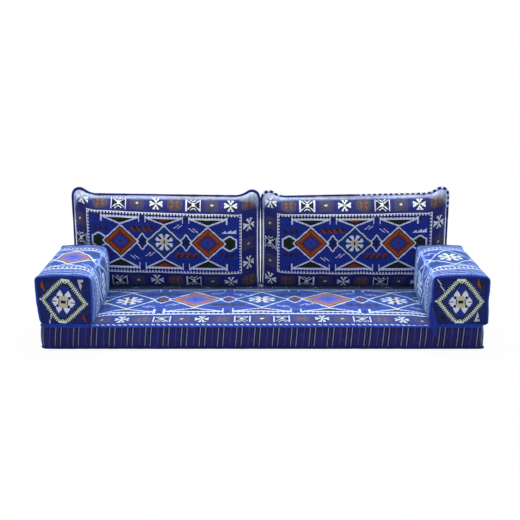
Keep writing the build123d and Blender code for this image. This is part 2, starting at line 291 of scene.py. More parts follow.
def end_star(paint, p, q):
    """Star of an arm's end: pointed lobes up and down, split ones at the sides."""
    a, b = abs(p), abs(q)
    tall = (abs(a - 0.34) < ((1 - b) * 0.68).least(0.25)) & (b > 0.25)
    short = a.between(0.40, 0.97) & (b < 0.43) & ((a * 0.9 + b * 0.75) < 0.94)
    paint.over(tall | short, "#d9dfee")
    paint.over((a < 0.34) & (b < 0.50) & ((a + b * 0.6) < 0.52), "#bdb9a2")
    paint.over((abs(a - 0.47) + abs(b - 0.37)) < 0.16, BLACK)
    paint.over((a < 0.21) & (b < 0.13), BLACK)
    paint.over(a.between(0.60, 1.0) & (b < 0.05), BLACK)


def border_motif(paint, p, q, kind, inside, strong):
    """One square of the border: rosette, boxed bow, dotted square or cross.

    strong, up to 1, is how far the rosettes and dotted squares stand out."""
    a, b = abs(p), abs(q)
    both = a + b
    cell = inside & (a < 1) & (b < 1)
    rosette = cell & (kind < 0.5) & strong
    petals = (abs(a - b) < 0.24) & a.between(0.12, 0.52)
    paint.layers(rosette, (both < 1.6, BROWN), (petals, "#8e5c34"), (both < 0.24, MAROON))
    paint.layers(
        cell & kind.near(1, 0.5),
        (a < 0.80, BLACK),
        ((a < 0.80) & (abs(b - a) < 0.09), WHITE),
        ((a < 0.44) & (b - a * 0.85).between(0.46, 0.62), WHITE),
        ((a < 0.16) & (b < 0.30), WHITE),
        (a > 0.86, WHITE),
    )
    dotted = cell & kind.near(2, 0.5)
    paint.layers(dotted & strong, (a < 0.94, TAUPE), (a.near(0.78, 0.10), PLUM))
    paint.over(dotted & (both < 0.24), CREAM)
    cross = cell & (kind > 2.5)
    paint.over(cross & (both < 1.10), BLACK)
    if strong < 0.5:
        paint.over(cross & (a < 0.86) & (b < 0.80), BLACK)
    paint.layers(
        cross,
        ((b < a * 0.66 - 0.04) & (a < 0.84), WHITE),
        ((a < b * 0.56 - 0.05) & (b < 0.94), WHITE),
        ((a < 0.09) & (b > 0.60), BLACK),
        ((b < 0.07) & (a > 0.62), BLACK),
        (both < 0.18, CREAM),
    )


def field_rows(paint, x, y, scale, reach, last, kinds):
    """Row of linked medallions with brackets and small marks along a panel's middle.

    scale is (along, across) and a medallion's half size at scale 1, reach the field's half depth,
    last the outermost medallion's number, and kinds is None where orange and star medallions
    take turns, or the one kind: 1 is orange."""
    along, across, wide, high = scale
    top = across > 1
    pitch = MEDALLION_STEP * along
    link_half = (0.121 - wide) * along
    wide, high = wide * along, high * across
    base = reach - 0.0265 * across
    depth = abs(y)
    within = abs(x) < (last + 0.5) * pitch
    number = (x / pitch + 0.5).floor()
    off = abs(x - number * pitch)
    orange = (number * 0.5).fract() * 2 if kinds is None else Num(x.tree, float(kinds))
    slot = (x / pitch).floor()
    gap = x - (slot + 0.5) * pitch
    near_gap = abs(gap)
    line = LINE_HALF * along
    # brackets along the field's edges
    rise = depth - high - off * ((base - high) / (BRACKET_HALF * along))
    bracket = within & (off < 0.090 * along)
    short = depth < base
    filled = rise > 0.015 * across
    edge_line = rise.near(0.001 * across, 0.0034 * across)
    paint.layers(
        bracket & short & (rise > 0),
        (rise > 0.005 * across, BLACK),
        (filled & ~orange, RUST),
        (filled & orange, GREEN),
    )
    paint.over(bracket & edge_line & short, WHITE)
    tooth = (x / (FRAME_TOOTH * along)).fract() < 0.5
    foot = depth - base
    comb_foot = foot.between(0, 0.0080 * across) & tooth
    paint.over(bracket & (foot.between(-line, line) | comb_foot), WHITE)
    tick = off.near(0.0885 * along, line) & foot.between(-0.024 * across, 0.012 * across)
    paint.over(within & tick, WHITE)
    paint.over(within & ((near_gap / along + abs(foot) / across) < 0.008), BLACK)
    # small marks between the medallions
    even = (slot * 0.5).fract() < 0.25
    comb_here = within & (abs((y > 0) - (even if top else ~even)) < 0.5)
    lean = ((gap / along + (depth / across - 0.060) * 0.8) / 0.027).fract()
    level = depth / across - 0.058 - (lean - 0.5) * 0.008
    row = within if top else abs(x) < last * pitch
    comb = row & comb_here & (near_gap < 0.056 * along) & (abs(level) < 0.0105)
    paint.over(comb & (lean < 0.66), "#1c1c54" if top else "#703026")
    paint.over(comb & (lean > 0.62) & (level > -0.004), BLACK)
    # marks beyond the outermost medallions
    past = (abs(x) - (last + 0.5) * pitch) / along + 0.0425
    beyond = past.between(0, 0.074)
    pale = beyond & (x > 0) & (y > 0)
    wedge = (depth / across - 0.047).between(0, past * 0.15 + 0.011 * (past / 0.025).fract())
    paint.over(beyond & ~pale & (abs(level) < 0.008) & (lean < 0.6), "#2c1418")
    paint.over(pale & wedge, WHITE)
    for middle, up, slope in ((-0.036, 0.074, 1.3), (0.036, 0.058, -1.3)):
        run = gap - middle * along
        climb = depth - up * across
        for shift in (-0.009, 0.009):
            slash = abs(run - climb * (slope * along / across) - shift * along) < 0.0026 * along
            paint.over(row & ~comb_here & slash & (abs(climb) < 0.0085 * across), WHITE)
    # links and end pieces
    end_gap = near_gap if top else abs(near_gap - 0.003)
    hexagon = end_gap / (0.062 * along) + depth / (0.037 * across)
    hexagon = hexagon.most(end_gap / (0.031 * along))
    link = near_gap / link_half + depth / (0.041 * across)
    ends = abs(x) > last * pitch
    shape = ends.pick(hexagon, link)
    paint.layers(
        abs(x) < (last + 1) * pitch,
        (shape < 1.04, WHITE),
        (shape < 0.83, DEEP),
        ((shape < 0.80) & ends, GREEN),
        ((shape < 0.74) & (along > 1.3) & even, GREEN),
        ((shape < 0.42) & (along > 1.3), RUST),
        (shape < 0.16, BLACK),
    )
    # medallions
    far = off / wide + depth / high
    inner = within & (far < 1)
    paint.over(inner, WHITE)
    stepped = off.steps(0.0060 * along) / wide + depth.steps(0.0085 * across) / high
    paint.layers(
        inner & orange,
        (far < 0.90, BLACK),
        (far < 0.81, TOP_ORANGE if top else ORANGE),
        *((stepped < size, colour) for size, colour in (TOP_STEPS if top else BACK_STEPS)),
    )
    cool = inner & ~orange
    paint.layers(cool, (far < 0.91, TEAL), (far < 0.74, FIELD))
    star(paint, off / (0.0435 * along) + ~cool * 9, y / (0.0400 * across))


def kilim(
    name, half, reach, scale, last, pitch, band, size, sides, mirrored=False, kinds=None,
    strong=0.6, cut=None, sheen=0.9, white=WHITE,
):
    """Kilim panel: field of medallions, toothed frame line, motif border and dotted edge.

    half is the panel's half size, reach the frame's; band the border's middle lines, pitch its
    step and size its motifs' half size; sides says whether the frame closes at the row's ends,
    and mirrored whether the border's motifs are the same both ways from the middle. cut is how
    far off centre and off square the cloth was cut: (along, across, lean, the border's own slip).
    scale, last and kinds are field_rows's, and strong is border_motif's."""
    material, tree, shader, u, v = cloth_material(name, sheen)
    along, across = scale[:2]
    slip, lift, lean, border_slip = cut or (0, 0, 0, 0)
    x = (u - slip).steps(STITCH * along)
    y = (v - lift - u * lean).steps(STITCH * across)
    ax, ay = abs(x), abs(y)
    upper = y > 0
    deep = noise(u, v, 14, 3.0)
    paint = Paint(tree, FIELD, white)
    paint.over(deep * 0.45, DEEP)
    if not cut:
        paint.over((noise(u, v, 11, 4.0) - 0.48).most(0) * 2.4, "#2f62b8")
        paint.over((noise(v, u, 7, 0.3) - 0.52).most(0) * 2.0, "#3a2c94")
    high = reach[1] - 0.008 * upper if cut else reach[1]
    field_rows(paint, x, y, scale, high, last, kinds)
    dy = high - ay
    dx = reach[0] - ax if sides else dy
    edge = dx.least(dy)
    outside = edge < 0
    paint.over(outside, BAND)
    paint.over(outside & deep * 0.5, DEEP)
    if size:
        side = (dx < 0) & (dy > 0)
        if mirrored:
            step = (x / pitch + 0.5).floor()
            order = (abs(step) * -0.25 + 0.5).fract() * 4
            run = x - step * pitch
        else:
            step = ((x - border_slip) / pitch).floor()
            order = (step * 0.25).fract() * 4
            run = x - border_slip - (step + 0.5) * pitch
        drop = 0.0085 * upper if cut else 0
        low_y = y + 0.012 if cut else y
        level = (low_y / pitch + 0.5).floor()
        p = side.pick(ax - band[0], run) / size[0]
        q = side.pick(low_y - level * pitch, ay + drop - band[1]) / size[1]
        kind = side.pick(abs(level) + 1 + (x > 0), order)
        paint.over(outside & noise(u, v, 20, detail=2) * 0.55, "#2c1c52")
        whole = ay < half[1] - 0.012
        if cut:
            whole = whole & ~(side & (abs(level) > 1.5))
        border_motif(paint, p, q, kind, outside & whole, strong)
    turn_y = (y / (FRAME_TOOTH * across)).fract()
    turn = (dx < dy).pick(turn_y, (x / (FRAME_TOOTH * along)).fract())
    teeth = edge.between(0, 0.0115 * across) & (turn < 0.5)
    paint.over(edge.between(0, 0.0135 * across), BLACK)
    paint.over(edge.between(0, 0.0052 * across) | teeth, WHITE)
    from_end = half[1] - abs(v)
    from_side = half[0] - abs(u)
    rim = from_side.least(from_end) if sides else from_end
    paint.over(rim < EDGE_BAND, BAND)
    dot_pitch, dot_far = (0.024, 0.0150) if mirrored else (0.0165, 0.0118)
    dots = ((u + v) / dot_pitch).fract() < 0.5
    paint.over(rim.between(0.006, dot_far) & dots, "#b2c2f0")
    if not sides:
        lines = ((from_end / 0.0175).fract() < 0.38) & (from_end > 0.016)
        paint.over(outside & lines & noise(u, v, 60) * 1.5, "#93abea")
        # Painted highlight: the panel paler towards its ends, patchy by noise, where the cloth
        # rolls over
        paint.over((1 - from_end / 0.034).most(0) * noise(u, v, 30), EDGE_SHEEN)
    # Painted highlight: the panel paler towards its sides, patchy by noise
    side_sheen = (1 - from_side / EDGE_BAND).most(0) * noise(u, v, 12) * 1.5
    paint.over(side_sheen.least(0.8), EDGE_SHEEN)
    if cut:
        # Painted highlight: the top band under the seam made paler, as where the crowned cloth
        # turns up to the overhead light
        fade = 0.026 + (abs(u) - 0.35).most(0) * 0.55
        crest_highlight = (1 - (half[1] - v) / fade).most(0) * (0.35 + 1.2 * noise(u, v, 42))
        paint.over(crest_highlight.least(0.9), "#cfe0ff")
    weave(tree, shader, paint, u, v)
    return material


def end_cloth(name, turn, marks):
    """End panel of an arm: one big serrated hexagon round a star, with a mark in each corner.

    turn is how far the hexagon is turned, and a mark its kind, its place and its lean."""
    material, tree, shader, u, v = cloth_material(name, 0.55)
    paint = Paint(tree, DEEP)
    paint.over(noise(u, v, 18, 2.0) * 0.6, "#0c1a48")
    c, s = math.cos(turn), math.sin(turn)
    x = (u * c + v * s).steps(0.0022)
    y = (v * c - u * s).steps(0.0022)
    a, b = abs(x), abs(y)
    plain = (a / 0.102 + b / 0.118).most(b / 0.0985)
    teeth = (abs(((a - b) / 0.0134).fract() - 0.5) - 0.25) * 0.34 * (b < 0.090)
    jag = plain + teeth
    rings = ((1.0, "#dce9d8"), (0.88, BLACK), (0.855, GREEN), (0.745, BLACK), (0.72, FIELD))
    for size, colour in rings:
        paint.over(jag < size, colour)
    paint.over((plain < 0.66) & noise(u, v, 40) * 0.7, DEEP)
    paint.over((abs(x + 0.106) + b) < 0.0045, WHITE)
    end_star(paint, x / 0.0525, y / 0.0525)
    for kind, mid_x, mid_y, lean in marks:
        py = v - mid_y
        px = u - mid_x - py * lean
        if kind == "comb":
            rise = (py * (1 if mid_y > 0 else -1) + 0.023) / 0.046
            notch = rise.near(0.66, 0.10) & (px > 0.001)
            paint.over((abs(px) < rise * 0.013) & rise.between(0, 1) & ~notch, MARK)
        elif kind == "ticks":
            for way in (-1, 1):
                stroke = (abs(px - way * 0.003) < 0.0030) & py.near(way * 0.0135, 0.0115)
                paint.over(stroke, MARK)
        else:
            zigzag = abs(px + 0.006 * ((py / 0.013).fract() - 0.5))
            blot = zigzag < (0.023 - abs(py)) * 0.5
            colour = {"orange": "#8a4420", "red": "#7c2430", "dark": "#0a0a1c"}[kind]
            paint.over(blot, BLACK)
            paint.over(blot & (px < 0.002), colour)
    rim = (ARM_HALF[0] - abs(u)).least(ARM_HEIGHT / 2 - abs(v))
    paint.over(rim < 0.008, "#203098")
    weave(tree, shader, paint, u, v, depth=0.0009)
    return material


def striped_cloth():
    """Border cloth of the seat: upright stripes in navy, lavender, maroon and teal."""
    material, tree, shader, u, v = cloth_material("striped_cloth")
    wobble = noise(u, v, 4, 0.4, 1.0)
    lean = u - v * 0.08 + (wobble - 0.5) * 0.006 + 0.0216
    place = ((lean - lean * lean * 0.0122) / 0.0788 + 0.5).fract()
    ramp = add_node(tree, "ValToRGB", {0: place})
    ramp.color_ramp.interpolation = "CONSTANT"
    stripes = (
        (0.000, "#161d70"), (0.012, "#6a3854"), (0.044, "#1b2680"), (0.110, "#141a66"),
        (0.160, "#121858"), (0.205, "#3a2450"), (0.230, "#12185a"), (0.300, "#0e1248"),
        (0.338, "#8f98cc"), (0.378, "#11154c"), (0.440, "#0d0f38"), (0.478, "#4a3c5c"),
        (0.502, "#0e0e38"), (0.560, "#15123e"), (0.596, "#11154c"), (0.630, "#8f98cc"),
        (0.670, "#0e1248"), (0.740, "#141b68"), (0.800, "#3a2450"), (0.824, "#131a62"),
        (0.900, "#1a3076"), (0.930, "#131960"),
    )
    bands = ramp.color_ramp.elements
    bands.remove(bands[1])
    bands[0].color = linear(stripes[0][1])
    for where, code in stripes[1:]:
        bands.new(where).color = linear(code)
    paint = Paint(tree, ramp.outputs[0])
    paint.over(noise(u, v, 90, 0.05) * 0.35, "#11164e")
    paint.over(v < -0.0400, HEM)
    paint.over(v > 0.0485, HEM)
    weave(tree, shader, paint, u, v, rib=0.0019)
    return material


def plain_cloth(name, code, dots=(), fold_shade_spacing=0.0):
    """One-colour cloth. dots are the stretches with pale dots, as a welt cut from kilim shows,
    and pleats the spacing of painted shade lines that stand for lengthwise folds."""
    material, tree, shader, u, v = cloth_material(name)
    paint = Paint(tree, code)
    paint.over(noise(u, v, 25) * 0.5, "#10154e")
    if fold_shade_spacing:
        # Painted shade: dark lengthwise lines where folds would lie in shade
        drift = v + noise(u, v, 30, 0.3, 1.0) * fold_shade_spacing
        paint.over(((drift / fold_shade_spacing).fract() < 0.34) * 0.8, "#0c1a58")
    spots = ((u / 0.0262).fract() < 0.40) & (v / 0.0314).fract().between(0.05, 0.60)
    for start, end in dots:
        paint.over(u.between(start, end) & spots, "#cfd8f4")
    weave(tree, shader, paint, u, v, rib=0.0015, depth=0.0005)
    return material


def metal(name, code):
    """Nickelled metal with fine scratches."""
    material, tree, shader = new_material(name, {"Metallic": 1.0})
    place = add_node(tree, "TexCoord").outputs["Object"]
    scratches = add_node(tree, "TexNoise", {"Scale": 900, "Detail": 4, "Vector": place})
    worn = Num(tree, scratches.outputs[0])
    paint = Paint(tree, code)
    paint.over(worn * 0.3, "#6f6f74")
    feed(tree, shader, {"Base Color": paint.colour, "Roughness": 0.25 + worn * 0.2})
    return material


def woven_part(name, code, scale):
    """Cloth for a CAD piece, which has no pattern coordinates of its own."""
    material, tree, shader = new_material(name, {"Sheen Weight": 0.3})
    place = add_node(tree, "TexCoord").outputs["Object"]
    waves = add_node(tree, "TexWave", {"Scale": scale, "Distortion": 0.8, "Vector": place})
    cord = Num(tree, waves.outputs["Fac"])
    paint = Paint(tree, code)
    paint.over(cord * 0.4, "#0c1040")
    normal = add_node(tree, "Bump", {"Distance": 0.0003, "Height": cord}).outputs[0]
    rough = 0.7 + cord * 0.2
    feed(tree, shader, {"Base Color": paint.colour, "Roughness": rough, "Normal": normal})
    return material


BACK_CLOTHS = [
    kilim(
        f"kilim_back_{side}", BACK_CLOTH_HALF, (0.379, 0.147), (1.03, 1.0, 0.0885, 0.079), 1,
        0.091, (0.418, 0.190), (0.037, 0.030), True, cut=cut, sheen=0.6, white="#dde4f4",
    )
    for side, cut in (
        ("left", (-0.0070, 0.018, -0.024, 0.006)),
        ("right", (-0.003, 0.012, -0.006, -0.004)),
    )
]
SEAT_CLOTH = kilim(
    "kilim_seat", SEAT_HALF, (0.822, 0.2205), (1.475, 1.475, 0.087, 0.0925), 2, 0.0875,
    (0.885, 0.2790), (0.0365, 0.037), True, mirrored=True, strong=0.32, white="#b4c6ea",
)
ARM_ORANGE, ARM_STAR, ARM_SIDE = (
    kilim(
        f"kilim_arm_{name}", (half, ARM_HALF[1]), (0.5, 0.198), (1.28, 1.58, 0.083, 0.0825), 6,
        0.09, None, None, False, kinds=kind, sheen=sheen, white="#bccdf0",
    )
    for name, half, kind, sheen in (
        ("orange", ARM_HALF[0], 1, 0.9),
        ("star", ARM_HALF[0], 0, 0.9),
        ("side", ARM_HEIGHT / 2, 0, 0.45),
    )
)
LEFT_END = end_cloth(
    "kilim_end_left", -0.11,
    (
        ("orange", -0.086, 0.069, -0.25),
        ("comb", 0.076, 0.073, 0.0),
        ("ticks", -0.068, -0.080, 0.15),
        ("red", 0.090, -0.077, -0.3),
    ),
)
RIGHT_END = end_cloth(
    "kilim_end_right", -0.01,
    (
        ("ticks", -0.087, 0.073, -0.75),
        ("orange", 0.077, 0.077, -0.2),
        ("dark", -0.071, -0.075, -0.3),
        ("comb", 0.074, -0.068, 0.0),
    ),
)
STRIPES = striped_cloth()
PLAIN = plain_cloth("plain_cloth", "#151b60")
WELT_BLUE = plain_cloth("welt_blue", "#244ac4")
CASING = plain_cloth("loose_casing", "#1c3ca8", fold_shade_spacing=0.0036)
WELT_NAVY = plain_cloth("welt_navy", "#161f74")
WELT_DOTTED = plain_cloth("welt_dotted", "#161f74", dots=((0.44, 0.54), (0.90, 1.44)))
TAPE = woven_part("zip_tape", "#12164a", 700)
TEETH = woven_part("zip_teeth", "#1b1f4a", 1500)
NICKEL = metal("zip_nickel", "#b9b9bd")


def ripple(points, seed, length):
    """Smooth waves from about -1 to 1 over points, the same for the same seed."""
    random = np.random.default_rng(seed)
    total = np.zeros(len(points))
    for _ in range(WAVES):
        way = random.normal(size=3)
        way /= np.linalg.norm(way)
        turns = 2 * math.pi / (length * random.uniform(0.7, 1.5))
        total += np.sin(points @ way * turns + random.uniform(0, 2 * math.pi))
    return total / WAVES**0.5


def clamp(value):
    return np.clip(value, 0, 1)


def unit(ways):
    """Directions made one long."""
    return ways / np.maximum(np.linalg.norm(ways, axis=1, keepdims=True), 1e-9)


def run_along(path):
    """How far along a path each of its points is."""
    return np.concatenate([[0], np.cumsum(np.linalg.norm(np.diff(path, axis=0), axis=1))])


def box_lattice(counts):
    """Points from -1 to 1 on a box's outside, its quads, and the side that each quad is on."""
    seen = {}
    faces = []
    sides = []
    names = (("left", "right"), ("front", "rear"), ("bottom", "top"))
    for axis in range(3):
        first, second = [i for i in range(3) if i != axis]
        for end in (0, 1):
            for i in range(counts[first]):
                for j in range(counts[second]):
                    quad = []
                    for di, dj in QUAD:
                        key = [end * counts[axis]] * 3
                        key[first], key[second] = i + di, j + dj
                        quad.append(seen.setdefault(tuple(key), len(seen)))
                    faces.append(quad)
                    sides.append(names[axis][end])
    points = np.array(list(seen), float) / np.array(counts) * 2 - 1
    return points, faces, sides


def side_pattern(grid, faces, sides, halves, ends, sign=1, shift=0):
    """Pattern coordinates of a boxed cover, in metres from the middle of each side.

    ends are the two axes of the left and right sides, sign is -1 where the pattern is mirrored
    and shift moves it along the top, left and right sides."""
    axes = {"top": (0, 1), "bottom": (0, 1), "front": (0, 2), "rear": (0, 2)}
    coordinates = []
    for face, side in zip(faces, sides):
        i, j = axes.get(side, ends)
        spread = (sign if i == 0 else 1) * halves[i]
        moved = shift if side in ("top", "left", "right") else 0
        coordinates += [(grid[p][i] * spread, grid[p][j] * halves[j] + moved) for p in face]
    return coordinates


def ring_path(points, grid, counts, axis, end):
    """Points of a boxed cover round the edge of one side: the one at the axis's end, -1 or 1."""
    columns, rows = (count for i, count in enumerate(counts) if i != axis)
    half_way = [(2 * k / columns - 1, -1) for k in range(columns)]
    half_way += [(1, 2 * k / rows - 1) for k in range(rows)]
    ring = np.array(half_way + [(-p, -q) for p, q in half_way])
    lookup = {tuple(spot): i for i, spot in enumerate(np.round(grid, 5) + 0.0)}
    spots = np.insert(ring, axis, end, axis=1)
    return points[[lookup[tuple(spot)] for spot in np.round(spots, 5) + 0.0]]


def rounded(x, y, half_x, half_y, radius):
    """Points of a rectangle moved into one with rounded corners, and the way out at each."""
    inner_x = np.clip(x, radius - half_x, half_x - radius)
    inner = np.stack([inner_x, np.clip(y, radius - half_y, half_y - radius)])
    out = np.stack([x, y]) - inner
    longest = np.abs(out).max(axis=0)
    length = np.maximum(np.hypot(*out), 1e-9)
    moved = inner + out / length * longest
    return moved[0], moved[1], out / length


def build(name, points, faces, coordinates, looks, indices=None):
    """Mesh object from points and faces, with pattern coordinates for each face's corners.

    indices says which of the looks each face has."""
    mesh = bpy.data.meshes.new(name)
    mesh.from_pydata([tuple(p) for p in points], [], faces)
    layer = mesh.uv_layers.new(name=UV)
    layer.data.foreach_set("uv", np.asarray(coordinates, float).ravel())
    for look in looks:
        mesh.materials.append(look)
    mesh.polygons.foreach_set("material_index", indices or [0] * len(faces))
    mesh.polygons.foreach_set("use_smooth", [True] * len(faces))
    work = bmesh.new()
    work.from_mesh(mesh)
    bmesh.ops.recalc_face_normals(work, faces=work.faces)
    work.to_mesh(mesh)
    work.free()
    mesh.update()
    thing = bpy.data.objects.new(name, mesh)
    bpy.context.scene.collection.objects.link(thing)
    return thing


def points_of(thing):
    """A mesh object's points as an array."""
    flat = np.zeros(len(thing.data.vertices) * 3)
    thing.data.vertices.foreach_get("co", flat)
    return flat.reshape(-1, 3)


def move_points(thing, points):
    """Gives a mesh object's points new places."""
    thing.data.vertices.foreach_set("co", np.asarray(points, float).ravel())
    thing.data.update()


def settle(thing, hold, pressure, slack, cap):
    """Lets a cover swell and wrinkle as cloth.

    hold is how firmly each point stays, slack how much longer the cloth is than its shape,
    and cap the most that a point moves."""
    start = points_of(thing)
    group = thing.vertex_groups.new(name="hold")
    for i, weight in enumerate(hold):
        if weight > 0.01:
            group.add([i], float(weight), "REPLACE")
    cloth = thing.modifiers.new("Cloth", "CLOTH")
    settings = cloth.settings
    settings.quality = 5
    settings.mass = 0.25
    settings.tension_stiffness = 30
    settings.compression_stiffness = 30
    settings.shear_stiffness = 12
    settings.bending_stiffness = 0.3
    settings.air_damping = 4
    settings.vertex_group_mass = "hold"
    settings.shrink_min = -slack
    settings.use_pressure = True
    settings.uniform_pressure_force = pressure
    settings.effector_weights.gravity = 0
    cloth.collision_settings.use_collision = False
    scene = bpy.context.scene
    for step in range(1, SIM_FRAMES + 1):
        scene.frame_set(step)
    done = thing.evaluated_get(bpy.context.evaluated_depsgraph_get())
    flat = np.zeros(len(start) * 3)
    done.data.vertices.foreach_get("co", flat)
    moved = flat.reshape(-1, 3) - start
    length = np.maximum(np.linalg.norm(moved, axis=1, keepdims=True), 1e-9)
    moved = moved / length * cap * np.tanh(length / cap)
    thing.modifiers.remove(cloth)
    thing.vertex_groups.remove(group)
    move_points(thing, start + np.nan_to_num(moved))
    scene.frame_set(1)


def soften(thing):
    """One subdivision that keeps the pattern's coordinates."""
    fine = thing.modifiers.new("Fine", "SUBSURF")
    fine.levels = 1
    fine.render_levels = 1
    fine.uv_smooth = "PRESERVE_BOUNDARIES"


def tube(name, path, radius, look, closed, body, node):
    """Welt: a round cord in cloth along a path of points, with its own pattern coordinates."""
    ahead = np.roll(path, -1, axis=0) - np.roll(path, 1, axis=0)
    if not closed:
        ahead[0] = path[1] - path[0]
        ahead[-1] = path[-1] - path[-2]
    ahead = unit(ahead)
    flat = np.linalg.svd(path - path.mean(axis=0), full_matrices=False)[2][2]
    flat = flat * np.sign(flat[np.abs(flat).argmax()])
    out = unit(np.cross(ahead, flat))
    side = np.cross(ahead, out)
    length = run_along(path)
    length = np.append(length, length[-1] + np.linalg.norm(path[0] - path[-1]))
    thick = radius * (1 + 0.07 * ripple(path, 5, 0.06))
    turns = 2 * math.pi / CORD_SIDES * np.arange(CORD_SIDES + 1)
    around = np.mean(radius) * turns
    ring = np.multiply.outer(np.cos(turns[:-1]), out) + np.multiply.outer(np.sin(turns[:-1]), side)
    points = (path + ring * thick[:, None]).swapaxes(0, 1).reshape(-1, 3)
    faces = []
    coordinates = []
    for i in range(len(path) if closed else len(path) - 1):
        after = (i + 1) % len(path)
        for k in range(CORD_SIDES):
            up = (k + 1) % CORD_SIDES
            corners = ((i, k), (after, k), (after, up), (i, up))
            faces.append([at * CORD_SIDES + turn for at, turn in corners])
            coordinates += [(length[i + di], around[k + dk]) for di, dk in QUAD]
    if not closed:
        for i, order in ((0, 1), (len(path) - 1, -1)):
            faces.append([i * CORD_SIDES + k for k in range(CORD_SIDES)][::order])
            coordinates += [(length[i], 0.0)] * CORD_SIDES
    thing = build(name, points, faces, coordinates, [look])
    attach(thing, body)
    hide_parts(node)


def smooth_steps(place, table, column):
    """Smooth value between a table's rows."""
    count, blur = 201, 20
    fine = np.linspace(-1, 1, count)
    raw = np.interp(fine, [row[0] for row in table], [row[column] for row in table])
    window = np.ones(2 * blur + 1) / (2 * blur + 1)
    soft = np.convolve(np.pad(raw, blur, mode="edge"), window, mode="valid")
    return np.interp(place, fine, soft)


def zip_band(points, on_face, name, axis, sign):
    """Sinks a cover's face to its zip's tapes, so that they show."""
    low, high = (np.array(corner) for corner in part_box(f"{name}_zip_tapes"))
    middle, half = (low + high) / 2, (high - low) / 2
    along = 1 - axis
    near = on_face & (np.abs(points[:, along] - middle[along]) < half[along])
    near &= np.abs(points[:, 2] - middle[2]) < ZIP_REACH
    points[near, axis] = middle[axis] - sign * (half[axis] - KEEP_OFF)


def make_seat():
    """Seat cover: kilim top, striped borders, plain bottom, and two welts."""
    grid, faces, sides = box_lattice(SEAT_QUADS)
    a, b, c = grid.T
    top, bottom = c == 1, c == -1
    beside = (np.abs(a) == 1) | (np.abs(b) == 1)
    x, y, out = rounded(a * SEAT_HALF[0], b * SEAT_HALF[1], *SEAT_HALF, SEAT_CORNER)
    swell = SEAT_BULGE * (1 - c**2)
    flare = clamp(a) ** 30 * clamp(-b) ** 8 * clamp(-c) ** 3
    x = x + out[0] * swell + np.sign(a) * np.abs(a) ** 20 * 0.005 + 0.010 * flare
    y = y + out[1] * swell - 0.004 * flare
    crown = SEAT_CROWN * (1 - clamp(np.abs(x) / CROWN_SPAN) ** 4) ** 2
    middle, span = (CROWN_FRONT + CROWN_REAR) / 2, (CROWN_REAR - CROWN_FRONT) / 2
    crown = crown * (1 - clamp(np.abs(y - middle) / span) ** 2)
    points = np.stack([x, y, (c + 1) / 2 * SEAT_HEIGHT + crown * top], axis=1)
    on_border = ~(top | bottom)
    rough = ripple(points * (1, 1, 0.35), 3, 0.16) * 0.0016
    rough = rough + ripple(points * (1, 1, 0.2), 4, 0.05) * 0.0006
    points[:, :2] += (out * rough * on_border).T
    bare = clamp((0.72 - np.abs(x)) / 0.03) * clamp((0.215 - y) / 0.03)
    dents = ripple(points, 6, 0.22) * 0.0012 + ripple(points, 7, 0.08) * 0.0005
    points[:, 2] += (top & ~beside) * bare * dents
    coordinates = side_pattern(grid, faces, sides, (*SEAT_HALF, SEAT_HEIGHT / 2), (1, 2))
    looks = [SEAT_CLOTH, PLAIN, STRIPES]
    index = {"top": 0, "bottom": 1}
    indices = [index.get(side, 2) for side in sides]
    cover = build("seat_cover", points, faces, coordinates, looks, indices)
    pressed = bottom | (top & (bare < 0.5))
    hold = np.where(beside & ~on_border, 1.0, np.where(pressed, 0.9, 0.0))
    settle(cover, hold, 1.2, 0.008, 0.006)
    points = points_of(cover)
    points[:, 2] = np.maximum(points[:, 2], 0.0004)
    under = top & (bare < 0.02)
    points[under, 2] = np.minimum(points[under, 2], REST - 0.0004)
    at_rear = (b == 1) & on_border
    points[at_rear, 1] = np.minimum(points[at_rear, 1], SEAT_REAR)
    zip_band(points, at_rear, "seat", 1, 1)
    move_points(cover, points)
    soften(cover)
    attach(cover, "seat")
    borders = ("front_border", "rear_border", "left_border", "right_border")
    panels = ("top_panel", "bottom_panel", *borders, "foam_core")
    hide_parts(*(f"seat_{panel}" for panel in panels))
    for node, level, height, look in (
        ("seat_top_welt", 1, SEAT_HEIGHT - WELT, WELT_BLUE),
        ("seat_bottom_welt", -1, WELT, WELT_NAVY),
    ):
        path = ring_path(points, grid, SEAT_QUADS, 2, level)
        path[:, 2] = height
        way = path[:, :2] / np.array(SEAT_HALF)
        path[:, :2] += unit(np.sign(way) * np.abs(way) ** 12) * 0.0008
        path[:, 1] = np.minimum(path[:, 1], SEAT_REAR)
        tube(f"{node}_cord", path, WELT, look, True, "seat", node)


